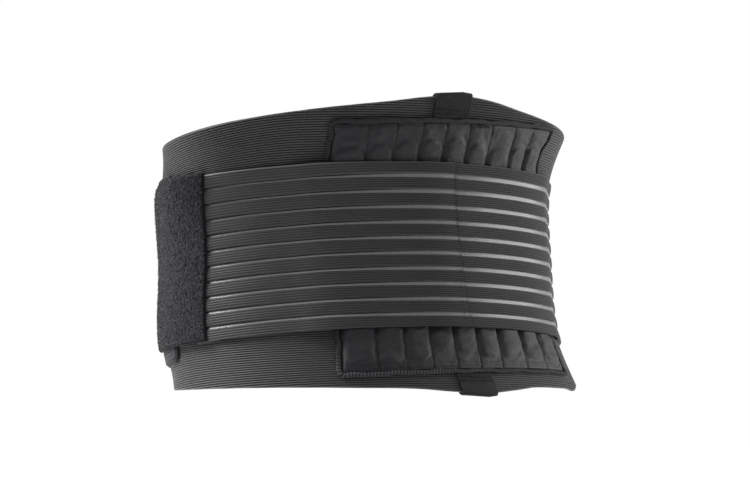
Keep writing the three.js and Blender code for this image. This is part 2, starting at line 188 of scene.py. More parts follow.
class StageSettings(bpy.types.PropertyGroup):
    distance: length("Camera distance", "From the middle of the waist to the camera", 3.1919)
    pixel: length("Pixel", "The size of one picture element at the middle of the waist", 0.000703)
    azimuth: FloatProperty(
        name="Azimuth", description="The camera's turn round the brace", default=math.radians(-40.9),
        subtype="ANGLE")
    elevation: FloatProperty(
        name="Elevation", description="The camera's angle over the horizon",
        default=math.radians(-1.74), subtype="ANGLE")
    roll: FloatProperty(
        name="Roll", description="The camera's tilt to one side", default=0.018, subtype="ANGLE")
    floor: length("Floor", "The height of the floor", -0.30)
    floor_tint: colour("Floor colour", "The floor's paint", (0.80, 0.80, 0.80))


SETTINGS = {
    "brace_torso": TorsoSettings,
    "brace_belt": BeltSettings,
    "brace_pad": PadSettings,
    "brace_band": BandSettings,
    "brace_tab": TabSettings,
    "brace_panel": PanelSettings,
    "brace_loop": LoopSettings,
    "brace_stage": StageSettings,
}


def settings(name):
    return getattr(bpy.context.scene, "brace_" + name)


# Smooth values from a table, straight beyond its ends
def from_table(table, key, name, at):
    x, y = np.array(table[key]), np.array(table[name])
    slope = np.diff(y) / np.diff(x)
    pull = np.concatenate([slope[:1], (y[2:] - y[:-2]) / (x[2:] - x[:-2]), slope[-1:]])
    at = np.asarray(at, dtype=float)
    i = np.clip(np.searchsorted(x, at, side="right") - 1, 0, len(x) - 2)
    span = x[i + 1] - x[i]
    t = (at - x[i]) / span
    start, end, rise = pull[i] * span, pull[i + 1] * span, y[i + 1] - y[i]
    bend, twist = 3 * rise - 2 * start - end, start + end - 2 * rise
    inside = y[i] + start * t + bend * t**2 + twist * t**3
    below = y[0] + pull[0] * (at - x[0])
    above = y[-1] + pull[-1] * (at - x[-1])
    return np.where(at < x[0], below, np.where(at > x[-1], above, inside))


def smooth_rise(value, start, end):
    t = np.clip((np.asarray(value, dtype=float) - start) / (end - start), 0, 1)
    return t * t * (3 - 2 * t)


# Angles round the waist and the arc lengths from the centre back to them, for a turn and more
def waist_arcs():
    torso = settings("torso")
    angles = np.linspace(0, 2 * math.pi, 1441)
    middles = (angles[1:] + angles[:-1]) / 2
    speed = np.hypot(torso.half_width * np.cos(middles), torso.half_depth * np.sin(middles))
    return angles, np.concatenate([[0], np.cumsum(speed * np.diff(angles))])


def half_girth():
    return waist_arcs()[1][720]


def swelling(along, up):
    return sum(out * np.exp(-((along - middle) / width) ** 2 - ((up - level) / height) ** 2)
               for middle, level, width, height, out in zip(*SWELLINGS.values()))


# Points of the torso at a distance along the waist from the centre back, at a height on the belt
# and at a distance out from the torso
def torso_points(along, up, out):
    torso = settings("torso")
    angles, arcs = waist_arcs()
    angle = np.sign(along) * np.interp(np.abs(along), arcs, angles)
    height = up / torso.back_height
    width = torso.half_width * from_table(TORSO, "height", "width", height)
    depth = torso.half_depth * from_table(TORSO, "height", "depth", height)
    shift = torso.half_depth * from_table(TORSO, "height", "shift", height)
    across, away = depth * np.sin(angle), -width * np.cos(angle)
    size = np.hypot(across, away)
    out = out + swelling(along, up)
    x = width * np.sin(angle) + out * across / size
    y = shift - depth * np.cos(angle) + out * away / size
    return np.stack([x, y, up - torso.front_dip * y], axis=1)


def belt_edge(name, along):
    around = np.abs(along) / half_girth()
    around = np.where(around > 1, 2 - around, around)
    sag = np.interp(along, SAG["along"], SAG["rise"]) if name == "bottom" else 0
    return settings("torso").back_height * from_table(EDGES, "around", name, around) + sag


def belt_surface():
    return settings("belt").thickness + LAYER_GAP


# Modelling with operators
def deselect():
    if bpy.context.mode != "OBJECT":
        bpy.ops.object.mode_set(mode="OBJECT")
    bpy.ops.object.select_all(action="DESELECT")


def take(piece):
    deselect()
    bpy.context.view_layer.objects.active = piece
    piece.select_set(True)
    return piece


def named(name):
    piece = bpy.context.object
    piece.name = piece.data.name = name
    return piece


def in_edit_mode(piece, action):
    take(piece)
    bpy.ops.object.mode_set(mode="EDIT")
    bpy.ops.mesh.select_mode(type="VERT")
    bpy.ops.mesh.select_all(action="SELECT")
    action()
    bpy.ops.object.mode_set(mode="OBJECT")


def face_out(piece):
    in_edit_mode(piece, lambda: bpy.ops.mesh.normals_make_consistent(inside=False))


def points_of(piece):
    points = np.empty(len(piece.data.vertices) * 3)
    piece.data.vertices.foreach_get("co", points)
    return points.reshape(-1, 3)


def set_points(piece, points):
    piece.data.vertices.foreach_set("co", np.asarray(points, dtype=np.float32).ravel())
    piece.data.update()


def set_mask(piece, name, values):
    mask = piece.data.attributes.new(name, "FLOAT", "POINT")
    mask.data.foreach_set("value", np.asarray(values, dtype=np.float32))


# Lengths along the cloth and up it, kept as the piece's own map, in metres
def keep_cloth_map(piece, along, up):
    corners = np.empty(len(piece.data.loops), dtype=np.int32)
    piece.data.loops.foreach_get("vertex_index", corners)
    layer = piece.data.uv_layers.active or piece.data.uv_layers.new()
    layer.name = CLOTH_MAP
    places = np.stack([along[corners], up[corners]], axis=1)
    layer.data.foreach_set("uv", places.astype(np.float32).ravel())


# A grid of cloth that is one unit thick, whose x and y count its columns and rows
def cloth_block(name, columns, rows):
    deselect()
    bpy.ops.mesh.primitive_grid_add(x_subdivisions=columns - 1, y_subdivisions=rows - 1, size=2)
    piece = named(name)
    points = points_of(piece)
    points[:, 0] = np.round((points[:, 0] + 1) / 2 * (columns - 1))
    points[:, 1] = np.round((points[:, 1] + 1) / 2 * (rows - 1))
    set_points(piece, points)
    in_edit_mode(piece, lambda: bpy.ops.mesh.extrude_region_move(
        TRANSFORM_OT_translate={"value": (0, 0, 1)}))
    return piece


# Cloth that is cut flat by place(column, row), which gives along and up, lies between back and
# front, and is laid round the torso. Its masks are worked out from the same columns and rows.
def lay_cloth(name, columns, rows, place, front, back, masks=None):
    piece = cloth_block(name, columns, rows)
    column, row, level = points_of(piece).T
    along, up = place(column, row)
    out = np.where(level > 0.5, front(column, row), back(column, row))
    for mask, values in (masks or {}).items():
        set_mask(piece, mask, values(column, row) * np.ones(len(column)))
    set_points(piece, np.stack([along, up, out], axis=1))
    in_edit_mode(piece, lambda: bpy.ops.mesh.remove_doubles(threshold=SAME_POINT))
    face_out(piece)
    return wrap(piece)


def wrap(piece):
    along, up, out = points_of(piece).T
    keep_cloth_map(piece, along, up)
    set_points(piece, torso_points(along, up, out))
    take(piece)
    bpy.ops.object.shade_smooth_by_angle(angle=CREASE)
    return piece


# How much a rounded corner takes off an edge, at a distance from the piece's end
def corner_cut(distance, radius):
    inner = np.clip(radius - distance, 0, radius)
    return radius - np.sqrt(radius**2 - inner**2)


# How high a rounded edge stands at a distance from the rim, as a share of its full height
def edge_round(distance, radius):
    inner = 1 - np.clip(distance / radius, 0, 1)
    return np.sqrt(1 - 0.9 * inner**2)


def finish_piece(piece, material, slot, *nodes):
    piece.data.materials.clear()
    piece.data.materials.append(material)
    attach(piece, "root")
    if nodes:
        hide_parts(*nodes)
    return piece


# A value in a shader tree. Sums and products of values add the Math nodes that work them out.
class Value:
    def __init__(self, tree, socket):
        self.tree, self.socket = tree, socket

    def __add__(self, other):
        return self.tree.math("ADD", self, other)

    def __sub__(self, other):
        return self.tree.math("SUBTRACT", self, other)

    def __rsub__(self, other):
        return self.tree.math("SUBTRACT", other, self)

    def __mul__(self, other):
        return self.tree.math("MULTIPLY", self, other)

    def __truediv__(self, other):
        return self.tree.math("DIVIDE", self, other)

    def __pow__(self, other):
        return self.tree.math("POWER", self, other)

    __radd__, __rmul__ = __add__, __mul__


# A short way to add nodes and link them
class Tree:
    def __init__(self, tree):
        self.tree = tree

    def node(self, kind, inputs=None, **values):
        made = self.tree.nodes.new("ShaderNode" + kind)
        for name, value in values.items():
            setattr(made, name, value)
        for socket, value in (inputs or {}).items():
            self.set(made.inputs[socket], value)
        return made

    def set(self, socket, value):
        if isinstance(value, Value):
            self.tree.links.new(value.socket, socket)
        else:
            socket.default_value = value

    def value(self, node, output=0):
        return Value(self, node.outputs[output])

    def math(self, operation, *values):
        return self.value(self.node("Math", dict(enumerate(values)), operation=operation))

    def wave(self, value, length):
        return self.math("SINE", value / length * math.tau)

    def mix(self, factor, first, second):
        made = self.node("Mix", {"Factor": factor}, data_type="RGBA")
        self.set(made.inputs["A"], first)
        self.set(made.inputs["B"], second)
        return self.value(made, "Result")

    def split(self, vector):
        made = self.node("SeparateXYZ", {"Vector": vector})
        return self.value(made, "X"), self.value(made, "Y")

    def join(self, x, y):
        return self.value(self.node("CombineXYZ", {"X": x, "Y": y}))

    def noise(self, vector, scale, detail=2.0, roughness=0.5):
        return self.value(self.node("TexNoise", {
            "Vector": vector, "Scale": scale, "Detail": detail, "Roughness": roughness}), "Fac")

    def ramp(self, value, low, high, to_low=0.0, to_high=1.0):
        return self.value(self.node("MapRange", {
            "Value": value, "From Min": low, "From Max": high, "To Min": to_low, "To Max": to_high}))

    def mask(self, name):
        return self.value(self.node("Attribute", attribute_name=name), "Fac")

    def place(self):
        return self.value(self.node("TexCoord"), "Object")

    def group(self, group, **inputs):
        made = self.tree.nodes.new("ShaderNodeGroup")
        made.node_tree = group
        for socket, value in inputs.items():
            self.set(made.inputs[socket], value)
        return {output.name: Value(self, output) for output in made.outputs}


# A shader group, which puts out only what changes over the surface. Inputs and outputs are given
# by name, an input by its default or by its kind, and build(tree, given) returns the outputs.
def shader_group(name, inputs, outputs, build):
    if name in bpy.data.node_groups:
        return bpy.data.node_groups[name]
    group = bpy.data.node_groups.new(name, "ShaderNodeTree")
    for socket, value in inputs.items():
        kind = value if isinstance(value, str) else "Float"
        made = group.interface.new_socket(socket, socket_type="NodeSocket" + kind)
        if value is not kind:
            made.default_value = value
    for socket, kind in outputs.items():
        group.interface.new_socket(socket, in_out="OUTPUT", socket_type="NodeSocket" + kind)
    tree = Tree(group)
    start = group.nodes.new("NodeGroupInput")
    end = group.nodes.new("NodeGroupOutput")
    given = {socket: tree.value(start, socket) for socket in inputs}
    for socket, value in build(tree, given).items():
        tree.set(end.inputs[socket], value)
    return group


# Cords that lie along the cloth: their height, and the grooves between them
def cords_group():
    wander_pitch, wander_size = (40.0, 300.0), 0.0002

    def build(tree, given):
        u, v = tree.split(given["Vector"])
        wander = tree.noise(tree.join(u * wander_pitch[0], v * wander_pitch[1]), 1.0) - 0.5
        turn = (v + wander * wander_size) / given["Pitch"] * math.tau
        height = tree.math("COSINE", turn) * -0.5 + 0.5
        slip = tree.wave(u, given["Stitch"]) * height * given["Slip"]
        return {"Height": height ** 0.6 + slip, "Groove": 1.0 - height ** 0.6}
    return shader_group(
        "Cords", {"Vector": "Vector", "Pitch": 0.0016, "Stitch": 0.0009, "Slip": 0.25},
        {"Height": "Float", "Groove": "Float"}, build)


# A plain weave of threads both ways
def weave_group():
    def build(tree, given):
        u, v = tree.split(given["Vector"])
        crossing = tree.wave(u, given["Pitch"]) * tree.wave(v, given["Pitch"])
        return {"Height": crossing * 0.5 + 0.5}
    return shader_group("Weave", {"Vector": "Vector", "Pitch": 0.0005}, {"Height": "Float"}, build)


# Uneven dye and dust: the colour with soft blotches and sparse pale specks of lint
def dye_group():
    blotch_scale, grain_scale, lint_scale = 22.0, 900.0, 1400.0

    def build(tree, given):
        blotch = tree.noise(given["Vector"], blotch_scale, 3.0, 0.6) - 0.5
        grain = tree.noise(given["Vector"], grain_scale, 1.0) - 0.5
        tone = blotch * given["Blotch"] + grain * given["Grain"] + 1.0
        scaled = tree.node("VectorMath", {0: given["Colour"], "Scale": tone}, operation="SCALE")
        lint = tree.ramp(tree.noise(given["Vector"], lint_scale, 0.0), 0.74, 0.80)
        colour = tree.mix(lint * given["Lint"], tree.value(scaled), LINT)
        return {"Colour": colour, "Tone": tone}
    return shader_group(
        "Dye", {"Vector": "Vector", "Colour": "Color", "Blotch": 0.4, "Grain": 0.3, "Lint": 0.08},
        {"Colour": "Color", "Tone": "Float"}, build)


def dyed(tree, tint, **amounts):
    return tree.group(dye_group(), Vector=tree.place(), Colour=solid(tint), **amounts)


# A cloth material. Surface(tree, cloth) gives the sockets of the shader that are linked and the
# height of its bump. Sheen, sheen roughness, specular and coat are the same all over.
def cloth_material(name, surface, bump, sheen, sheen_roughness, specular, coat_roughness=None):
    if name in bpy.data.materials:
        return bpy.data.materials[name]
    material = bpy.data.materials.new(name)
    material.use_nodes = True
    tree = Tree(material.node_tree)
    shader = material.node_tree.nodes["Principled BSDF"]
    cloth = tree.value(tree.node("UVMap", uv_map=CLOTH_MAP))
    linked, height = surface(tree, cloth)
    relief = tree.node("Bump", {"Height": height, "Strength": 1.0, "Distance": bump})
    linked["Normal"] = tree.value(relief)
    for socket, value in linked.items():
        tree.set(shader.inputs[socket], value)
    shader.inputs["Sheen Weight"].default_value = sheen
    shader.inputs["Sheen Roughness"].default_value = sheen_roughness
    shader.inputs["Specular IOR Level"].default_value = specular
    if coat_roughness is not None:
        shader.inputs["Coat Roughness"].default_value = coat_roughness
    return material


def solid(tint):
    return (*tint, 1.0)


# A nearly black grey with a trace of blue, for painted shade in grooves, seams and crevices and for painted
# shadows
def dark_grey(value):
    return (value, value, 1.2 * value, 1.0)


LINT = (0.3, 0.3, 0.32, 1.0)


def elastic_finish():
    belt = settings("belt")

    def surface(tree, cloth):
        u, v = tree.split(cloth)
        cords = tree.group(cords_group(), Vector=tree.join(u, tree.mask("row")),
                           Pitch=belt.rib_pitch, Stitch=0.003, Slip=0.05)
        dye = dyed(tree, belt.tint, Blotch=0.25)
        # The grooves between the ribs are painted darker, as painted shade.
        ribbed = tree.mix(cords["Groove"], dye["Colour"], dark_grey(0.001))
        # Above the pad, right of the loop, the elastic is painted darker, as painted shade that hides its
        # ribs.
        beyond = tree.ramp(u, -0.03, 0.01) * tree.ramp(u, 0.085, 0.11, 1.0, 0.0)
        flat = beyond * tree.ramp(v, 0.070, 0.084, 0.0, 0.6)
        ribbed = tree.mix(flat, ribbed, (0.0035, 0.0035, 0.004, 1))
        # A pale line is painted along the edges as a highlight.
        body = tree.mix(tree.mask("edge"), ribbed, solid(belt.edge_highlight_tint))
        rough = tree.ramp(cords["Groove"], 0, 1, 0.62, 0.9)
        return {"Base Color": body, "Roughness": rough}, cords["Height"]
    return cloth_material("belt elastic", surface, 0.0003, 0.12, 0.35, 0.18)


def pad_finish():
    def surface(tree, cloth):
        weave = tree.group(weave_group(), Vector=cloth, Pitch=0.00055)
        dye = dyed(tree, settings("pad").tint, Blotch=0.35, Grain=0.15, Lint=0.12)
        # The seams' grooves are painted darker, as painted shade.
        body = tree.mix(tree.mask("seam") * 0.4, dye["Colour"], dark_grey(0.002))
        creases = tree.noise(tree.place(), 160.0, 3.0, 0.6)
        rough = tree.ramp(dye["Tone"], 0.8, 1.2, 0.44, 0.56)
        return {"Base Color": body, "Roughness": rough}, weave["Height"] * 0.25 + creases
    return cloth_material("pad cloth", surface, 0.0003, 0.03, 0.35, 0.18)


def thread_finish(name, tint, pitch):
    def surface(tree, cloth):
        u, v = tree.split(cloth)
        height = tree.wave(u + v * 0.6, pitch) * 0.5 + 0.5
        dye = dyed(tree, tint, Blotch=0.3, Grain=0.8)
        # The low parts between the windings are painted darker, as painted shade.
        wound = tree.mix(tree.ramp(height, 0, 1, 0.6, 0.0), dye["Colour"], dark_grey(0.0015))
        # The strand mask paints a paler colour onto the windings' ridges, as a painted highlight.
        body = tree.mix(tree.mask("strand"), wound, (0.075, 0.075, 0.082, 1))
        return {"Base Color": body, "Roughness": tree.ramp(dye["Tone"], 0.7, 1.3, 0.6, 0.8)}, height
    return cloth_material(name, surface, 0.0002, 0.06, 0.5, 0.15)


# Dense rows of yarn, painted darker towards the right as painted shade, between sheer stripes of pale thread,
# which carry painted shade near the tab and right of the seam, painted light towards the right and a painted
# shadow of the row above
def band_finish():
    band = settings("band")

    def surface(tree, cloth):
        u, v = tree.split(cloth)
        stripe, row = tree.mask("stripe"), tree.mask("row")
        cords = tree.group(cords_group(), Vector=tree.join(u, row), Pitch=1.0, Stitch=0.0011)
        dye = dyed(tree, band.tint, Blotch=0.25)
        # Painted shade: the dense rows grow darker from left of the middle towards the right, and their
        # grooves are painted darker.
        worn = tree.ramp(u, -0.12, -0.03, 0.0, 0.36) + tree.ramp(u, -0.01, 0.06, 0.0, 0.30)
        dense = tree.mix(cords["Groove"] * 0.62 + worn, dye["Colour"], (0.002, 0.002, 0.0022, 1))
        # A pale highlight is painted along the band's top rows, strongest on the left part.
        edge = tree.mask("edge") * tree.ramp(u, -0.12, -0.07, 1.0, 0.1)
        dense = tree.mix(edge, dense, (0.11, 0.11, 0.115, 1))
        threads = tree.wave(u + v * 0.55, 0.0013)
        sheer = threads * 0.12 + 0.62 + tree.noise(cloth, 420.0, 2.0) * 0.5
        # The stripes' colour is scaled down near the tab and right of the seam as painted shade, and up
        # towards the right as painted light.
        tension = tree.ramp(u, -0.180, -0.150, 0.25, 0.9) * tree.ramp(u, -0.003, -0.0015, 1.0, 0.8)
        tension = tension * tree.ramp(u, 0.008, 0.03, 1.0, 1.2)
        # At the far right the stripes are painted paler, as a painted highlight.
        painted_right_highlight = tree.ramp(u, 0.07, 0.13, 0.0, 0.5)
        thread = tree.mix(painted_right_highlight, solid(band.stripe_tint), (0.32, 0.33, 0.33, 1))
        light = tree.mix(sheer * tension, (0.005, 0.005, 0.0055, 1), thread)
        # A painted shadow of the row above covers the upper part of each stripe, and the left half's end at
        # the seam gets painted shade.
        shadow = tree.ramp(u, -0.09, -0.03, 0.42, 0.70)
        under = stripe * tree.ramp(tree.math("FRACT", row), shadow, shadow + 0.2)
        painted_shade = tree.math("MAXIMUM", under, tree.mask("end"))
        body = tree.mix(painted_shade, tree.mix(stripe, dense, light), dark_grey(0.0015))
        return {
            "Base Color": body,
            "Roughness": tree.ramp(stripe, 0, 1, 0.72, 0.38),
            "Coat Weight": stripe * tension * tree.ramp(u, 0.07, 0.13, 0.5, 1.0),
        }, tree.mix(stripe, cords["Height"], threads * 0.3)
    return cloth_material("striped elastic", surface, 0.0002, 0.17, 0.35, 0.16, 0.25)


# Pile in small clumps, with an overcast rim where the rim is wider than nothing
def fleece_finish(name, tint, rim_width, rim_pitch, rim_tint):
    def surface(tree, cloth):
        rim = tree.mask("rim")
        clumps = tree.noise(tree.place(), 760.0, 3.0, 0.65)
        dye = dyed(tree, tint, Blotch=0.35, Grain=2.7, Lint=0.2)
        shade = tree.ramp(clumps, 0.41, 0.62, 0.97, 0.0)
        pile = tree.mix(shade, dye["Colour"], dark_grey(0.002))
        threads = tree.wave(rim, rim_pitch)
        between = tree.ramp(threads, -1, 1, 1.0, 0.0)
        overcast = tree.mix(between, solid(rim_tint), (0.001, 0.001, 0.0015, 1))
        sewn = tree.ramp(rim, rim_width, rim_width * 0.8)
        height = tree.mix(sewn, clumps, threads * 0.2 + 0.4)
        rough = tree.ramp(clumps, 0.3, 0.7, 0.95, 0.8)
        return {"Base Color": tree.mix(sewn, pile, overcast), "Roughness": rough}, height
    return cloth_material(name, surface, 0.0008, 0.07, 0.5, 0.06)


# Webbing whose cords run along its length
def webbing_finish():
    def surface(tree, cloth):
        u, v = tree.split(cloth)
        cords = tree.group(cords_group(), Vector=tree.join(v, u), Pitch=0.00125, Stitch=0.0016)
        dye = dyed(tree, settings("loop").tint, Blotch=0.3)
        # The grooves between the cords are painted darker, as painted shade.
        body = tree.mix(cords["Groove"] * 0.9, dye["Colour"], dark_grey(0.0015))
        rough = tree.ramp(cords["Groove"], 0, 1, 0.6, 0.85)
        return {"Base Color": body, "Roughness": rough}, cords["Height"]
    return cloth_material("loop webbing", surface, 0.0003, 0.05, 0.5, 0.13)


# The main belt's rows lie along its ribs, three to a rib, and are cut by its edges.
def make_belt():
    torso, belt = settings("torso"), settings("belt")
    columns = 132
    rows_per_rib = 3
    rounding = 0.0012
    step = belt.rib_pitch / rows_per_rib
    lowest = min(EDGES["bottom"]) * torso.back_height - step
    rows = int((max(EDGES["top"]) - min(EDGES["bottom"])) * torso.back_height / step) + 3
    end = half_girth() - belt.front_slit / 2

    def uncut(column, row):
        along = -end + 2 * end * column / (columns - 1)
        level = lowest + step * row
        at_sides, near_top = smooth_rise(np.abs(along), 0.11, 0.25), smooth_rise(level, 0.02, 0.085)
        return along, level - belt.rib_sink * at_sides * near_top

    def place(column, row):
        along, up = uncut(column, row)
        return along, np.clip(up, belt_edge("bottom", along), belt_edge("top", along))

    def cord(column, row):
        return step * row + place(column, row)[1] - uncut(column, row)[1]

    def rim(column, row):
        along, up = place(column, row)
        return np.minimum(belt_edge("top", along) - up, up - belt_edge("bottom", along))

    def front(column, row):
        from_rim = rim(column, row)
        sunk = (np.mod(np.round(row), rows_per_rib) == 0) & (from_rim > 0.00013)
        worn = 0.4 * belt.thickness * (1 - edge_round(from_rim, rounding))
        return belt.thickness - belt.rib_depth * sunk - worn

    def back(column, row):
        return 0.35 * belt.thickness * (1 - edge_round(rim(column, row), rounding))

    piece = lay_cloth("main_belt_elastic", columns, rows, place, front, back,
                      # The edge mask marks where the pale painted highlight lies along the edges.
                      {"edge": lambda column, row: 1 - smooth_rise(rim(column, row), 0.0002, 0.0010),
                       "row": cord})
    finish_piece(piece, elastic_finish(), "belt_elastic", "main_belt")
    area = float(np.trapz(*reversed(belt_profile(end))))


# The belt's height at places round it
def belt_profile(end):
    along = np.linspace(-end, end, 400)
    return along, belt_edge("top", along) - belt_edge("bottom", along)


def pad_half_sizes():
    pad = settings("pad")
    rim = pad.edging_width + LAYER_GAP
    return pad.width / 2 - rim, pad.height / 2 - rim


# How far each point of a channel stands out, with a stay that has an arched top end
def stay_swell(across, up, half_height, channel):
    side = np.abs(across - 0.5) * 2
    reach = (0.016, 0.014, 0.012, 0.011, 0.009, 0.013, 0.014, 0.012, 0.011)
    foot = (0.006, 0.006, 0.007, 0.016, 0.011, 0.008, 0.006, 0.007, 0.006)
    top = half_height - np.take(reach, channel % len(reach))
    bottom = -half_height + np.take(foot, channel % len(foot))
    arch = 0.008 * side**2.5
    shoulder = 1 - smooth_rise(side, 0.62, 0.96)
    over = smooth_rise(top - arch - up, -0.0012, 0.0016)
    under = smooth_rise(up - bottom - 0.5 * arch, -0.0012, 0.0016)
    return shoulder * over * under


PAD_COLUMNS_PER_CHANNEL = 16
PAD_ROWS = 151


# How far across the pad each column lies, with columns crowded together at the seams
def pad_share(column):
    channel = column / PAD_COLUMNS_PER_CHANNEL
    eased = channel - 0.09 * np.sin(math.tau * channel)
    return np.interp(eased, range(len(SEAMS)), SEAMS)


# The pad's front cloth puffed up between its seams by a cloth simulation, as heights over the
# flat pad for each column and row
def puffed_pad(columns):
    pad = settings("pad")
    half_width, half_height = pad_half_sizes()
    deselect()
    bpy.ops.mesh.primitive_grid_add(x_subdivisions=columns - 1, y_subdivisions=PAD_ROWS - 1, size=2)
    piece = named("pad front before sewing")
    points = points_of(piece)
    column = np.round((points[:, 0] + 1) / 2 * (columns - 1)).astype(int)
    row = np.round((points[:, 1] + 1) / 2 * (PAD_ROWS - 1)).astype(int)
    points[:, 0] = half_width * (2 * pad_share(column) - 1)
    points[:, 1] *= half_height
    # Slack cloth starts with slight folds, which the pressure works out into creases.
    draw = np.random.default_rng(5)
    points[:, 2] = 0.0004 * draw.random(len(points))
    set_points(piece, points)
    seam = column % PAD_COLUMNS_PER_CHANNEL == 0
    hem = (row < 2) | (row > PAD_ROWS - 3)
    pinned = piece.vertex_groups.new(name="sewn")
    pinned.add(np.flatnonzero(seam | hem).tolist(), 1.0, "REPLACE")
    cloth = take(piece).modifiers.new("Cloth", "CLOTH")
    cloth.settings.vertex_group_mass = pinned.name
    cloth.settings.effector_weights.gravity = 0
    cloth.settings.use_pressure = True
    cloth.settings.uniform_pressure_force = 4
    cloth.settings.shrink_min = -0.07
    cloth.settings.bending_stiffness = 0.15
    cloth.settings.tension_stiffness = 12
    cloth.settings.compression_stiffness = 12
    cloth.settings.mass = 0.25
    cloth.settings.quality = 6
    cloth.point_cache.frame_start, cloth.point_cache.frame_end = 1, 20
    for moment in range(1, 21):
        bpy.context.scene.frame_set(moment)
    bpy.ops.object.modifier_apply(modifier=cloth.name)
    bpy.context.scene.frame_set(1)
    heights = np.zeros((columns, PAD_ROWS))
    heights[column, row] = points_of(piece)[:, 2]
    bpy.data.objects.remove(piece, do_unlink=True)
    return np.clip(heights, 0, 1.6 * pad.crown)


def pad_line(along, from_middle):
    pad = settings("pad")
    return pad.middle + pad.slant * along + from_middle


# How far the pad's outline leans and how far its stays draw in its right side near the top
def pad_lean(along, from_middle):
    pad = settings("pad")
    right = smooth_rise(along / pad.width, 0.18, 0.5)
    spread = np.where(from_middle > 0.066, 0.013, 0.035)
    drawn = 0.0080 * np.exp(-((from_middle - 0.066) / spread) ** 2) * right
    drawn = drawn - 0.0055 * smooth_rise(-from_middle, 0.03, 0.085) * right
    wavy = 0.0004 * np.sin(260 * from_middle) + 0.0003 * np.sin(570 * from_middle + 1)
    wavy = wavy * smooth_rise(np.abs(along) / pad.width, 0.4, 0.5)
    low = smooth_rise(-from_middle, 0.03, 0.06) * (1 - smooth_rise(along / pad.width, 0.1, 0.5))
    upright = 0.2 * (from_middle + 0.073) * low
    return pad.skew * from_middle - drawn + upright + wavy


def make_pad():
    pad = settings("pad")
    half_width, half_height = pad_half_sizes()
    columns = (len(SEAMS) - 1) * PAD_COLUMNS_PER_CHANNEL + 1
    puff = puffed_pad(columns)

    def place(column, row):
        along = half_width * (2 * pad_share(column) - 1)
        from_middle = -half_height + 2 * half_height * row / (PAD_ROWS - 1)
        return along + pad_lean(along, from_middle), pad_line(along, from_middle)

    def seam_distance(column):
        at = pad_share(column)
        return 2 * half_width * np.min([np.abs(at - seam) for seam in SEAMS], axis=0)

    def front(column, row):
        from_middle = -half_height + 2 * half_height * row / (PAD_ROWS - 1)
        channel = np.minimum(column // PAD_COLUMNS_PER_CHANNEL, len(SEAMS) - 2).astype(int)
        across = np.interp(pad_share(column), SEAMS, range(len(SEAMS))) - channel
        stay = stay_swell(across, from_middle, half_height, channel)
        soft = puff[column.astype(int), row.astype(int)]
        from_sides = half_width * (1 - np.abs(2 * pad_share(column) - 1))
        hem = np.minimum(from_sides, half_height - np.abs(from_middle))
        groove = 0.0006 * np.exp(-(seam_distance(column) / 0.0007) ** 2)
        flat = belt_surface() + pad.edge_thickness - 0.0008 * (1 - smooth_rise(hem, 0, 0.0025))
        raised = flat + 0.85 * pad.crown * stay + 0.65 * soft - groove
        under_band = settings("band").height / 2 - np.abs(place(column, row)[1])
        covered = smooth_rise(under_band, -0.006, 0.0)
        return np.minimum(raised, pad_top() + 0.0002 + 0.002 * (1 - covered))

    # How much painted shade lies in the seams' grooves
    def seam(column, row):
        seam_shade = np.exp(-(seam_distance(column) / 0.0007) ** 2)
        return np.clip(seam_shade, 0, 1)

    piece = lay_cloth("back_pad_cloth", columns, PAD_ROWS, place, front,
                      lambda column, row: belt_surface(), {"seam": seam})
    finish_piece(piece, pad_finish(), "pad_cloth", "back_pad")


# The line of the pad's edging: a rounded rectangle, its length run and its outward direction
def edging_line(steps, inset):
    pad = settings("pad")
    radius = 0.003
    half_width, half_height = pad.width / 2 - inset, pad.height / 2 - inset
    arc = math.pi / 2 * radius
    sides = [2 * (half_height - radius), 2 * (half_width - radius)] * 2
    total = sum(sides) + 4 * arc
    at = np.linspace(0, total, steps, endpoint=False)
    x, y, angle = np.zeros(steps), np.zeros(steps), np.zeros(steps)
    start = 0.0
    corners = ((1, 1), (-1, 1), (-1, -1), (1, -1))
    for i, (right, upper) in enumerate(corners):
        side, facing = sides[i], i * math.pi / 2
        outward = np.array([math.cos(facing), math.sin(facing)])
        ahead = np.array([-outward[1], outward[0]])
        centre = np.array([right * (half_width - radius), upper * (half_height - radius)])
        straight = (at >= start) & (at < start + side)
        begin = centre + outward * radius - ahead * side
        x[straight] = begin[0] + ahead[0] * (at[straight] - start)
        y[straight] = begin[1] + ahead[1] * (at[straight] - start)
        angle[straight] = facing
        start += side
        bend = (at >= start) & (at < start + arc)
        turn = facing + (at[bend] - start) / radius
        x[bend] = centre[0] + radius * np.cos(turn)
        y[bend] = centre[1] + radius * np.sin(turn)
        angle[bend] = turn
        start += arc
    return x, y, angle, at, total


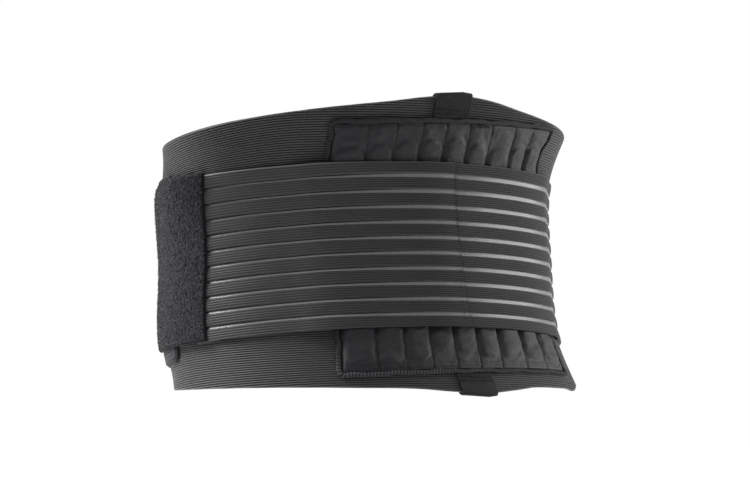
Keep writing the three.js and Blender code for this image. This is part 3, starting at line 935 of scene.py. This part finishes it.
# Overlocked edging: a ring whose thread winds round it
def make_edging():
    pad = settings("pad")
    steps, sides, twist = 1800, 10, 0.0023
    deselect()
    bpy.ops.mesh.primitive_grid_add(x_subdivisions=steps, y_subdivisions=sides, size=2)
    piece = named("pad_edging_thread")
    points = points_of(piece)
    around = np.round((points[:, 0] + 1) / 2 * steps).astype(int) % steps
    turn = math.pi * np.where(points[:, 1] > 0.999, -1, points[:, 1])
    x, y, angle, at, total = edging_line(steps, pad.edging_width / 2)
    x, y, angle, at = x[around], y[around], angle[around], at[around]
    turns = round(total / twist)
    wound = 1 + 0.13 * np.sin(turns * math.tau * at / total - turn)
    half = pad.edging_width / 2
    across = half * wound * np.cos(turn)
    height = belt_surface() + pad.edging_thickness * (0.5 + 0.5 * wound * np.sin(turn))
    wavy = 0.0003 * np.sin(190 * x) + 0.0002 * np.sin(430 * x + 2)
    from_middle = y + across * np.sin(angle) + wavy
    along = x + across * np.cos(angle)
    along, up = along + pad_lean(along, from_middle), pad_line(along, from_middle)
    set_points(piece, np.stack([along, up, np.maximum(height, belt_surface())], axis=1))
    # The strand mask marks the windings' ridges, most along the lower left edge, for a painted highlight.
    worn = 0.5 * smooth_rise(x, 0.03, -0.05) * smooth_rise(y, -0.075, -0.082) + 0.12
    set_mask(piece, "strand", smooth_rise(wound, 1.02, 1.12) * worn)
    in_edit_mode(piece, lambda: bpy.ops.mesh.remove_doubles(threshold=0.00002))
    face_out(piece)
    wrap(piece)
    finish = thread_finish("edging thread", pad.edging_tint, 0.0008)
    finish_piece(piece, finish, "pad_edging", "pad_binding")


def pad_top():
    pad = settings("pad")
    return belt_surface() + pad.edge_thickness + pad.crown


def band_inside(along):
    pad = settings("pad")
    edge = pad.width / 2 + LAYER_GAP
    rise = smooth_rise(np.abs(along), edge, edge + 0.028)
    return pad_top() + LAYER_GAP + (belt_surface() - pad_top() - LAYER_GAP) * rise


def band_middle(along):
    band = settings("band")
    return band.middle - band.droop * (along / band.reach) ** 2


# The band's rows from the bottom up: how many dense rows and stripes lie below each, how far it
# stands out of the band's surface, its stripe mask, and its place on the cords
def band_rows():
    band = settings("band")
    ribs, per_rib = 5, 3
    rows = []
    for i in range(band.stripes + 1):
        for j in range(ribs * per_rib + 1):
            part = j / (ribs * per_rib)
            groove = 0.00022 if j % per_rib == 0 else 0.0
            crown = 0.00035 * (1 - (2 * part - 1) ** 2)
            rows.append((i + part, i, crown - groove, 0.0, part * ribs + i))
        if i < band.stripes:
            for part, sunk in ((0.10, 0.45), (0.22, 0.6), (0.5, 0.75), (0.78, 1), (0.90, 1.1)):
                rows.append((i + 1, i + part, -band.stripe_depth * sunk, 1.0, i + 1 + part))
    return np.array(rows)


def band_half(name, start, end, slants, lift, lift_end, node):
    band = settings("band")
    columns = 78
    dense, sheer, relief, stripe, cord = band_rows().T

    def place(column, row):
        index = row.astype(int)
        share_along = column / (columns - 1)
        fraction = (dense[index] + sheer[index]) / (2 * band.stripes + 1)
        first = start + slants[0] * (0.5 - fraction)
        last = end + slants[1] * (0.5 - fraction)
        along = first + (last - first) * share_along
        slack = smooth_rise(-along, 0.03, 0.13)
        sheer_width = band.stripe_width * (1 - 0.38 * slack)
        dense_width = (band.height - band.stripes * sheer_width) / (band.stripes + 1)
        low = band_middle(along) - band.height / 2
        return along, low + dense[index] * dense_width + sheer[index] * sheer_width

    def inside(column, row):
        along, _ = place(column, row)
        return band_inside(along) + lift(along)

    def front(column, row):
        along, _ = place(column, row)
        index = row.astype(int)
        puffy = 0.9 * smooth_rise(np.abs(along), band.reach - 0.03, band.reach - 0.008)
        raised = relief[index] + puffy * np.maximum(relief[index], 0)
        return inside(column, row) + band.thickness + raised

    piece = lay_cloth(name, columns, len(dense), place, front, inside, {
        "stripe": lambda column, row: stripe[row.astype(int)],
        "row": lambda column, row: cord[row.astype(int)],
        # The end mask marks the left half's end at the seam, which gets painted shade.
        "end": lambda column, row: 0.8 * (column == (columns - 1 if lift_end else -1)),
        # The edge mask marks the top rows, where the pale painted highlight lies.
        "edge": lambda column, row: row > len(dense) - 2.5,
    })
    finish_piece(piece, band_finish(), "striped_elastic", node)


def make_bands():
    band = settings("band")
    raised = -band.lap - LAYER_GAP
    rise = band.thickness + LAYER_GAP
    band_half("tension_band_left_elastic", -band.reach, 0.0, (0.0, band.seam_slant),
              lambda along: rise * smooth_rise(along, raised - 0.045, raised), True, "tension_band_left")
    band_half("tension_band_right_elastic", -band.lap, band.reach, (0.0, 0.0),
              lambda along: 0.0 * along, False, "tension_band_right")


# A cushioned outline between two ends with rounded corners, whose upper edge may fall in a long
# curve of some length and height towards the far end
def rounded_piece(name, columns, rows, ends, slant, half_height, middle, corners, inside, thickness, edge,
                  taper=None, upper_corner=None):
    start, end = ends
    side = 1 if end > start else -1

    def edges(column, row):
        first = start - side * slant * (row / (rows - 1) - 0.5)
        along = first + (end - first) * column / (columns - 1)
        from_start, from_end = np.abs(along - first), np.abs(end - along)
        cut = corner_cut(from_start, corners[0]) + corner_cut(from_end, corners[1])
        upper_cut = cut
        if taper:
            length, fall = taper
            upper_cut = np.maximum(cut, corner_cut(from_end, length) * fall / length)
        if upper_corner:
            upper_cut = corner_cut(from_start, upper_corner) + corner_cut(from_end, corners[1])
        low, high = middle(along) - half_height + cut, middle(along) + half_height - upper_cut
        return along, low, high, np.minimum(from_start, from_end)

    def place(column, row):
        along, low, high, _ = edges(column, row)
        return along, low + (high - low) * row / (rows - 1)

    def rim(column, row):
        along, low, high, from_ends = edges(column, row)
        up = low + (high - low) * row / (rows - 1)
        return np.minimum(from_ends, np.minimum(up - low, high - up))

    def front(column, row):
        along, _ = place(column, row)
        return inside(along) + thickness * edge_round(rim(column, row), edge)

    return lay_cloth(name, columns, rows, place, front, lambda column, row: inside(place(column, row)[0]),
                     {"rim": rim})


# Pile: the front is pushed in and out by a cloudy texture, but not at the rim
def raise_pile(piece, size, strength, name):
    texture = bpy.data.textures.new(name, "CLOUDS")
    texture.noise_scale = size
    texture.noise_depth = 2
    rim = np.empty(len(piece.data.vertices), dtype=np.float32)
    piece.data.attributes["rim"].data.foreach_get("value", rim)
    group = piece.vertex_groups.new(name="pile")
    for index in np.flatnonzero(rim > 0.0004):
        group.add([int(index)], 1.0, "REPLACE")
    take(piece)
    bpy.ops.object.modifier_add(type="DISPLACE")
    push = piece.modifiers[-1]
    push.texture = texture
    push.texture_coords = "LOCAL"
    push.strength = strength
    push.mid_level = 0.5
    push.vertex_group = group.name
    bpy.ops.object.modifier_apply(modifier=push.name)


# A piece of many small bodies, which no operator lays at set places
def put_together(name, points, faces):
    mesh = bpy.data.meshes.new(name)
    mesh.from_pydata(points, [], faces)
    piece = bpy.data.objects.new(name, mesh)
    bpy.context.collection.objects.link(piece)
    return piece


# Curled fibres that stand in the pile, as one mesh of thin three-sided tubes
def curled_fibres(name, count, region, surface, seed):
    draw = np.random.default_rng(seed)
    along, up = region(draw, count)
    base = surface(along)
    heading = draw.uniform(0, math.tau, count)
    reach = draw.uniform(0.0007, 0.0016, count)
    height = draw.uniform(0.0003, 0.0011, count)
    thick = draw.uniform(0.00007, 0.00013, count)
    stations = ((0.0, 0.0, 1.0), (0.35, 0.9, 1.0), (0.8, 1.0, 0.9), (1.0, 0.45, 0.5))
    rings = []
    for forward, rise, width in stations:
        bend = heading + 1.1 * forward
        centre = np.stack([along + reach * forward * np.cos(bend),
                           up + reach * forward * np.sin(bend),
                           base + height * rise], axis=1)
        sideways = np.stack([-np.sin(bend), np.cos(bend), 0 * bend], axis=1)
        for turn in (0, math.tau / 3, 2 * math.tau / 3):
            lift = np.array([0, 0, 1.0])
            outward = math.cos(turn) * sideways + math.sin(turn) * lift
            rings.append(centre + (thick * width)[:, None] * outward)
    points = np.stack(rings, axis=1).reshape(-1, 3)
    faces = []
    for ring in range(len(stations) - 1):
        for side in range(3):
            after = (side + 1) % 3
            low, high = ring * 3, ring * 3 + 3
            faces.append([low + side, low + after, high + after, high + side])
    faces = np.array(faces)
    starts = np.arange(count)[:, None, None] * len(stations) * 3
    piece = put_together(name, points.tolist(), (starts + faces).reshape(-1, 4).tolist())

    def close_ends():
        bpy.ops.mesh.select_non_manifold(extend=False)
        bpy.ops.mesh.edge_face_add()

    in_edit_mode(piece, close_ends)
    return wrap(piece)


def tab_middle(along):
    return settings("tab").middle + 0 * along


def tab_inside(along):
    band, panel = settings("band"), settings("panel")
    band_surface = belt_surface() + band.thickness + LAYER_GAP
    panel_surface = belt_surface() + panel.thickness + LAYER_GAP
    rise = smooth_rise(np.abs(along), band.reach, panel.start - LAYER_GAP)
    return band_surface + (panel_surface - band_surface) * rise


def make_tabs():
    tab = settings("tab")
    finish = fleece_finish("tab fleece", tab.tint, 0.0010, 0.0011, (0.004, 0.004, 0.005))
    strands = fleece_finish("tab fibres", tab.tint, 0.0, 0.0011, tab.tint)
    for name, side, seed in (("left", -1, 11), ("right", 1, 12)):
        start, end = side * tab.start, side * (tab.start + tab.length)
        body = rounded_piece(
            f"band_tab_{name}_fleece", 128, 176, (start, end), tab.slant, tab.height / 2, tab_middle,
            (0.002, tab.corner), tab_inside, tab.thickness - 0.0004, tab.edge, (tab.taper, tab.fall))
        raise_pile(body, 0.0012, 0.0016, f"tab pile {name}")
        finish_piece(body, finish, "tab_fleece", f"band_tab_{name}")

        def region(draw, count):
            along = draw.uniform(tab.start + 0.001, tab.start + tab.length - 0.001, count)
            from_end = tab.start + tab.length - along
            cut = corner_cut(from_end, tab.corner) + 0.001
            fall = corner_cut(from_end, tab.taper) * tab.fall / tab.taper + 0.001
            up = tab.middle + draw.uniform(cut - tab.height / 2,
                                           tab.height / 2 - np.maximum(cut, fall))
            lean = tab.slant * (up - tab.middle) / tab.height
            keep = along > tab.start - lean + 0.0008
            return side * np.where(keep, along, along + tab.slant), up

        fibres = curled_fibres(f"band_tab_{name}_fibres", tab.fibres, region,
                               lambda along: tab_inside(along) + tab.thickness - 0.0007, seed)
        finish_piece(fibres, strands, "tab_fleece")


def panel_middle(along):
    return settings("panel").middle + 0.0028 * smooth_rise(np.abs(along), 0.24, 0.32)


def make_panels():
    panel = settings("panel")
    finish = fleece_finish("panel fleece", panel.tint, 0.0100, 0.0028, (0.022, 0.022, 0.026))
    end = half_girth() + panel.lap
    raised = half_girth() - panel.lap - LAYER_GAP
    for name, side, laps in (("left", -1, 1), ("right", 1, 0)):
        rise = laps * (panel.thickness + LAYER_GAP)
        body = rounded_piece(
            f"front_panel_{name}_fleece", 124, 84, (side * panel.start, side * end), 0.0,
            panel.height / 2, panel_middle, (panel.corner, panel.corner),
            lambda along: belt_surface() + rise * smooth_rise(np.abs(along), raised - panel.lap_rise, raised),
            panel.thickness, 0.0012, upper_corner=0.004)
        finish_piece(body, finish, "panel_fleece", f"front_panel_{name}")


# Webbing from the pad's edging over the belt's edge and down its inner side
def make_loops():
    loop, pad = settings("loop"), settings("pad")
    finish = webbing_finish()
    columns, rows = 70, 60
    outer_radius = 0.5 * belt_surface() + 0.5 * LAYER_GAP + loop.thickness
    for name, way in (("top", 1), ("bottom", -1)):
        def place(column, row):
            along = loop.shift + loop.width * (column / (columns - 1) - 0.5)
            return along, row / (rows - 1)

        def folded(column, row, depth):
            along, run = place(column, row)
            edge = belt_edge(name, along) + way * (LAYER_GAP + loop.fold - outer_radius)
            start = pad_line(along, way * (pad.height / 2 + LAYER_GAP))
            outer_leg = np.abs(edge - start)
            bend = math.pi * (outer_radius - loop.thickness / 2)
            total = outer_leg + bend + loop.inner_leg
            at = run * total
            turn = np.clip((at - outer_leg) / bend, 0, 1) * math.pi
            inner = np.clip(at - outer_leg - bend, 0, None)
            radius = outer_radius - depth
            centre = belt_surface() + loop.thickness - outer_radius
            out = centre + radius * np.cos(turn)
            straight = np.minimum(at, outer_leg)
            up = start + way * (straight + radius * np.sin(turn) - inner)
            return up, out

        piece = cloth_block(f"{name}_loop_webbing", columns, rows)
        column, row, level = points_of(piece).T
        ridge = 0.00018 * (np.mod(column, 3) == 0)
        depth = np.where(level > 0.5, ridge, loop.thickness - ridge)
        up, out = folded(column, row, depth)
        along, run = place(column, row)
        set_points(piece, np.stack([along, up, out], axis=1))
        face_out(piece)
        wrap(piece)
        finish_piece(piece, finish, "loop_webbing", f"{name}_loop")


# Rows of stitches: each is a short length of thread laid between two points of the flat cloth
def stitch_rows(name, rows, thickness, material, slot):
    deselect()
    bpy.ops.mesh.primitive_uv_sphere_add(segments=6, ring_count=4, radius=1)
    bead = named("stitch pattern")
    shape = points_of(bead)
    corners = [tuple(face.vertices) for face in bead.data.polygons]
    points, faces = [], []
    for start, end in rows:
        start, end = np.array(start), np.array(end)
        ahead = end - start
        size = np.linalg.norm(ahead)
        ahead = ahead / size
        lift = np.array([0, 0, 1.0])
        across = np.cross(lift, ahead)
        across /= np.linalg.norm(across)
        first = len(points)
        for x, y, z in shape:
            middle = (start + end) / 2 + ahead * z * size / 2
            points.append(middle + (across * x + lift * y) * thickness)
        faces += [tuple(first + corner for corner in face) for face in corners]
    bpy.data.objects.remove(bead, do_unlink=True)
    piece = put_together(name, [tuple(point) for point in points], faces)
    face_out(piece)
    wrap(piece)
    return finish_piece(piece, material, slot)


# Stitches along a straight line of the flat cloth, with a gap between each two
def running(start, end, pitch, out, fill=0.62):
    start, end = np.array(start, dtype=float), np.array(end, dtype=float)
    count = max(1, int(np.linalg.norm(end - start) / pitch))
    made = []
    for i in range(count):
        first = start + (end - start) * i / count
        last = start + (end - start) * (i + fill) / count
        made.append(((*first, out(first)), (*last, out(last))))
    return made


def zigzag(start, end, pitch, width, out):
    start, end = np.array(start, dtype=float), np.array(end, dtype=float)
    count = max(2, int(np.linalg.norm(end - start) / pitch))
    ahead = (end - start) / np.linalg.norm(end - start)
    across = np.array([-ahead[1], ahead[0]]) * width / 2
    made = []
    for i in range(count):
        sign = 1 if i % 2 else -1
        first = start + (end - start) * i / count + sign * across
        last = start + (end - start) * (i + 1) / count - sign * across
        made.append(((*first, out(first)), (*last, out(last))))
    return made


def make_stitches():
    pad, band, loop = settings("pad"), settings("band"), settings("loop")
    dark = thread_finish("sewing thread", (0.012, 0.012, 0.014), 0.0006)
    half_width, half_height = pad_half_sizes()

    def hem_out(point):
        return belt_surface() + pad.edge_thickness + 0.0001

    def loop_out(point):
        return belt_surface() + loop.thickness + 0.0001

    rows = []
    for inset in (0.0022, 0.0045):
        for way in (-1, 1):
            left = (-half_width + 0.002, pad_line(-half_width, way * (half_height - inset)))
            right = (half_width - 0.002, pad_line(half_width, way * (half_height - inset)))
            rows += running(left, right, 0.0034, hem_out)
    stitch_rows("back_pad_hem_stitches", rows, 0.00028, dark, "pad_edging")
    top, bottom = band_middle(0) + band.height / 2, band_middle(0) - band.height / 2
    from_edge, lean = -0.0022, band.seam_slant / 2

    def band_out(point):
        return band_inside(np.array(point[0])) + 2 * band.thickness + LAYER_GAP + 0.0002

    seam = running((from_edge + lean, top - 0.001), (from_edge - lean, bottom + 0.001),
                   0.0030, band_out)
    stitch_rows("tension_band_seam_stitches", seam, 0.00028, dark, "striped_elastic")
    rows = []
    for way in (1, -1):
        start = pad_line(loop.shift, way * (pad.height / 2 + 0.0025))
        for step in (0, 1):
            height = start + way * 0.0028 * step
            rows += zigzag((loop.shift - loop.width / 2 + 0.001, height),
                           (loop.shift + loop.width / 2 - 0.001, height), 0.0012, 0.0022,
                           loop_out)
    stitch_rows("loop_bar_stitches", rows, 0.00024, dark, "loop_webbing")
    first, last = loop.shift + loop.width / 2 + 0.002, loop.shift + loop.width / 2 + 0.020
    rows = zigzag((first, pad_line(first, half_height - 0.002)),
                  (last, pad_line(last, half_height - 0.002)),
                  0.0013, 0.004, hem_out)
    stitch_rows("back_pad_zigzag_stitches", rows, 0.00024, dark, "pad_edging")


# The stage: camera, lamps, floor and white surroundings
def make_stage():
    stage = settings("stage")
    scene = bpy.context.scene
    along = Vector((math.cos(stage.azimuth), math.sin(stage.azimuth), 0))
    towards = Vector((math.sin(stage.azimuth), -math.cos(stage.azimuth), 0))
    rolled_up = -along * math.sin(stage.roll) + Vector((0, 0, 1)) * math.cos(stage.roll)
    right = along * math.cos(stage.roll) + Vector((0, 0, 1)) * math.sin(stage.roll)
    up = rolled_up * math.cos(stage.elevation) - towards * math.sin(stage.elevation)
    back = towards * math.cos(stage.elevation) + rolled_up * math.sin(stage.elevation)
    deselect()
    bpy.ops.object.camera_add()
    camera = bpy.context.object
    camera.name = camera.data.name = "camera"
    turned = Matrix((right, up, back)).transposed().to_4x4()
    camera.matrix_world = Matrix.Translation(back * stage.distance) @ turned
    frame_width, frame_height = 750, 480
    origin_x, origin_y = 355.7, 262.4
    camera.data.sensor_width = 36
    camera.data.lens = stage.distance / stage.pixel / frame_width * camera.data.sensor_width
    camera.data.shift_x = (frame_width / 2 - origin_x) / frame_width
    camera.data.shift_y = (origin_y - frame_height / 2) / frame_width
    camera.data.clip_end = 50
    scene.camera = camera

    lamps = (
        # name, azimuth, elevation, distance, width, height, power
        ("right box", 72, 14, 1.7, 0.9, 1.4, 24),
        ("left box", -136, 44, 1.8, 0.7, 0.9, 100),
        ("top box", -40, 66, 1.6, 1.2, 0.8, 11),
    )
    for name, azimuth, elevation, distance, width, height, power in lamps:
        a, e = math.radians(azimuth), math.radians(elevation)
        away = Vector((math.sin(a) * math.cos(e), -math.cos(a) * math.cos(e), math.sin(e)))
        deselect()
        bpy.ops.object.light_add(type="AREA", location=away * distance)
        lamp = bpy.context.object
        lamp.name = lamp.data.name = name
        lamp.rotation_mode = "QUATERNION"
        lamp.rotation_quaternion = away.to_track_quat("Z", "Y")
        lamp.data.shape = "RECTANGLE"
        lamp.data.size, lamp.data.size_y = width, height
        lamp.data.energy = power

    deselect()
    bpy.ops.mesh.primitive_plane_add(size=30, location=(0, 0, stage.floor))
    floor = named("floor")
    paint = bpy.data.materials.new("floor paint")
    paint.use_nodes = True
    tree = Tree(paint.node_tree)
    shader = paint.node_tree.nodes["Principled BSDF"]
    mottle = tree.ramp(tree.noise(tree.place(), 3.0), 0.3, 0.7, 0.0, 0.03)
    painted = tree.mix(mottle, solid(stage.floor_tint), (0.78, 0.78, 0.78, 1))
    tree.set(shader.inputs["Base Color"], painted)
    tree.set(shader.inputs["Roughness"], 0.9)
    tree.set(shader.inputs["Emission Color"], (1, 1, 1, 1))
    seen = tree.value(tree.node("LightPath"), "Is Camera Ray")
    tree.set(shader.inputs["Emission Strength"], tree.ramp(seen, 0, 1, 0.3, 1.0))
    floor.data.materials.append(paint)
    world = bpy.data.worlds.new("white room")
    world.use_nodes = True
    tree = Tree(world.node_tree)
    sky = world.node_tree.nodes["Background"]
    sky.inputs["Color"].default_value = (1, 1, 1, 1)
    seen = tree.value(tree.node("LightPath"), "Is Camera Ray")
    tree.set(sky.inputs["Strength"], tree.ramp(seen, 0, 1, 0.36, 1.0))
    scene.world = world
    scene.view_settings.view_transform = "Standard"


class BRACE_OT_stage(bpy.types.Operator):
    """Adds the camera, the lamps, the floor and the white surroundings"""
    bl_idname = "brace.stage"
    bl_label = "Stage"

    def execute(self, context):
        make_stage()
        return {"FINISHED"}


class BRACE_OT_belt(bpy.types.Operator):
    """Models the wide ribbed elastic"""
    bl_idname = "brace.belt"
    bl_label = "Main belt"

    def execute(self, context):
        make_belt()
        return {"FINISHED"}


class BRACE_OT_pad(bpy.types.Operator):
    """Models the padded back panel with its channels"""
    bl_idname = "brace.pad"
    bl_label = "Back pad"

    def execute(self, context):
        make_pad()
        return {"FINISHED"}


class BRACE_OT_edging(bpy.types.Operator):
    """Models the overlocked edging round the pad"""
    bl_idname = "brace.edging"
    bl_label = "Pad edging"

    def execute(self, context):
        make_edging()
        return {"FINISHED"}


class BRACE_OT_bands(bpy.types.Operator):
    """Models the two halves of the striped band"""
    bl_idname = "brace.bands"
    bl_label = "Tension bands"

    def execute(self, context):
        make_bands()
        return {"FINISHED"}


class BRACE_OT_tabs(bpy.types.Operator):
    """Models the fleece tabs on the band's ends"""
    bl_idname = "brace.tabs"
    bl_label = "Tabs"

    def execute(self, context):
        make_tabs()
        return {"FINISHED"}


class BRACE_OT_panels(bpy.types.Operator):
    """Models the closure panels across the front"""
    bl_idname = "brace.panels"
    bl_label = "Front panels"

    def execute(self, context):
        make_panels()
        return {"FINISHED"}


class BRACE_OT_loops(bpy.types.Operator):
    """Models the webbing loops over the belt's edges"""
    bl_idname = "brace.loops"
    bl_label = "Loops"

    def execute(self, context):
        make_loops()
        return {"FINISHED"}


class BRACE_OT_stitches(bpy.types.Operator):
    """Adds the rows of stitches"""
    bl_idname = "brace.stitches"
    bl_label = "Stitches"

    def execute(self, context):
        make_stitches()
        return {"FINISHED"}


OPERATORS = (BRACE_OT_stage, BRACE_OT_belt, BRACE_OT_pad, BRACE_OT_edging, BRACE_OT_bands,
             BRACE_OT_tabs, BRACE_OT_panels, BRACE_OT_loops, BRACE_OT_stitches)


class BRACE_PT_panel(bpy.types.Panel):
    bl_label = "Back support brace"
    bl_space_type = "VIEW_3D"
    bl_region_type = "UI"
    bl_category = "Brace"

    def draw(self, context):
        for name in SETTINGS:
            box = self.layout.box()
            group = getattr(context.scene, name)
            for key in group.__annotations__:
                box.prop(group, key)
        for step in OPERATORS:
            self.layout.operator(step.bl_idname)


CLASSES = [*SETTINGS.values(), *OPERATORS, BRACE_PT_panel]


def register():
    for made in CLASSES:
        bpy.utils.register_class(made)
    for name, group in SETTINGS.items():
        setattr(bpy.types.Scene, name, PointerProperty(type=group))


def unregister():
    for name in SETTINGS:
        delattr(bpy.types.Scene, name)
    for made in reversed(CLASSES):
        bpy.utils.unregister_class(made)


def main():
    register()
    for step in OPERATORS:
        group, name = step.bl_idname.split(".")
        getattr(getattr(bpy.ops, group), name)()
    deselect()


if __name__ == "__main__":
    main()
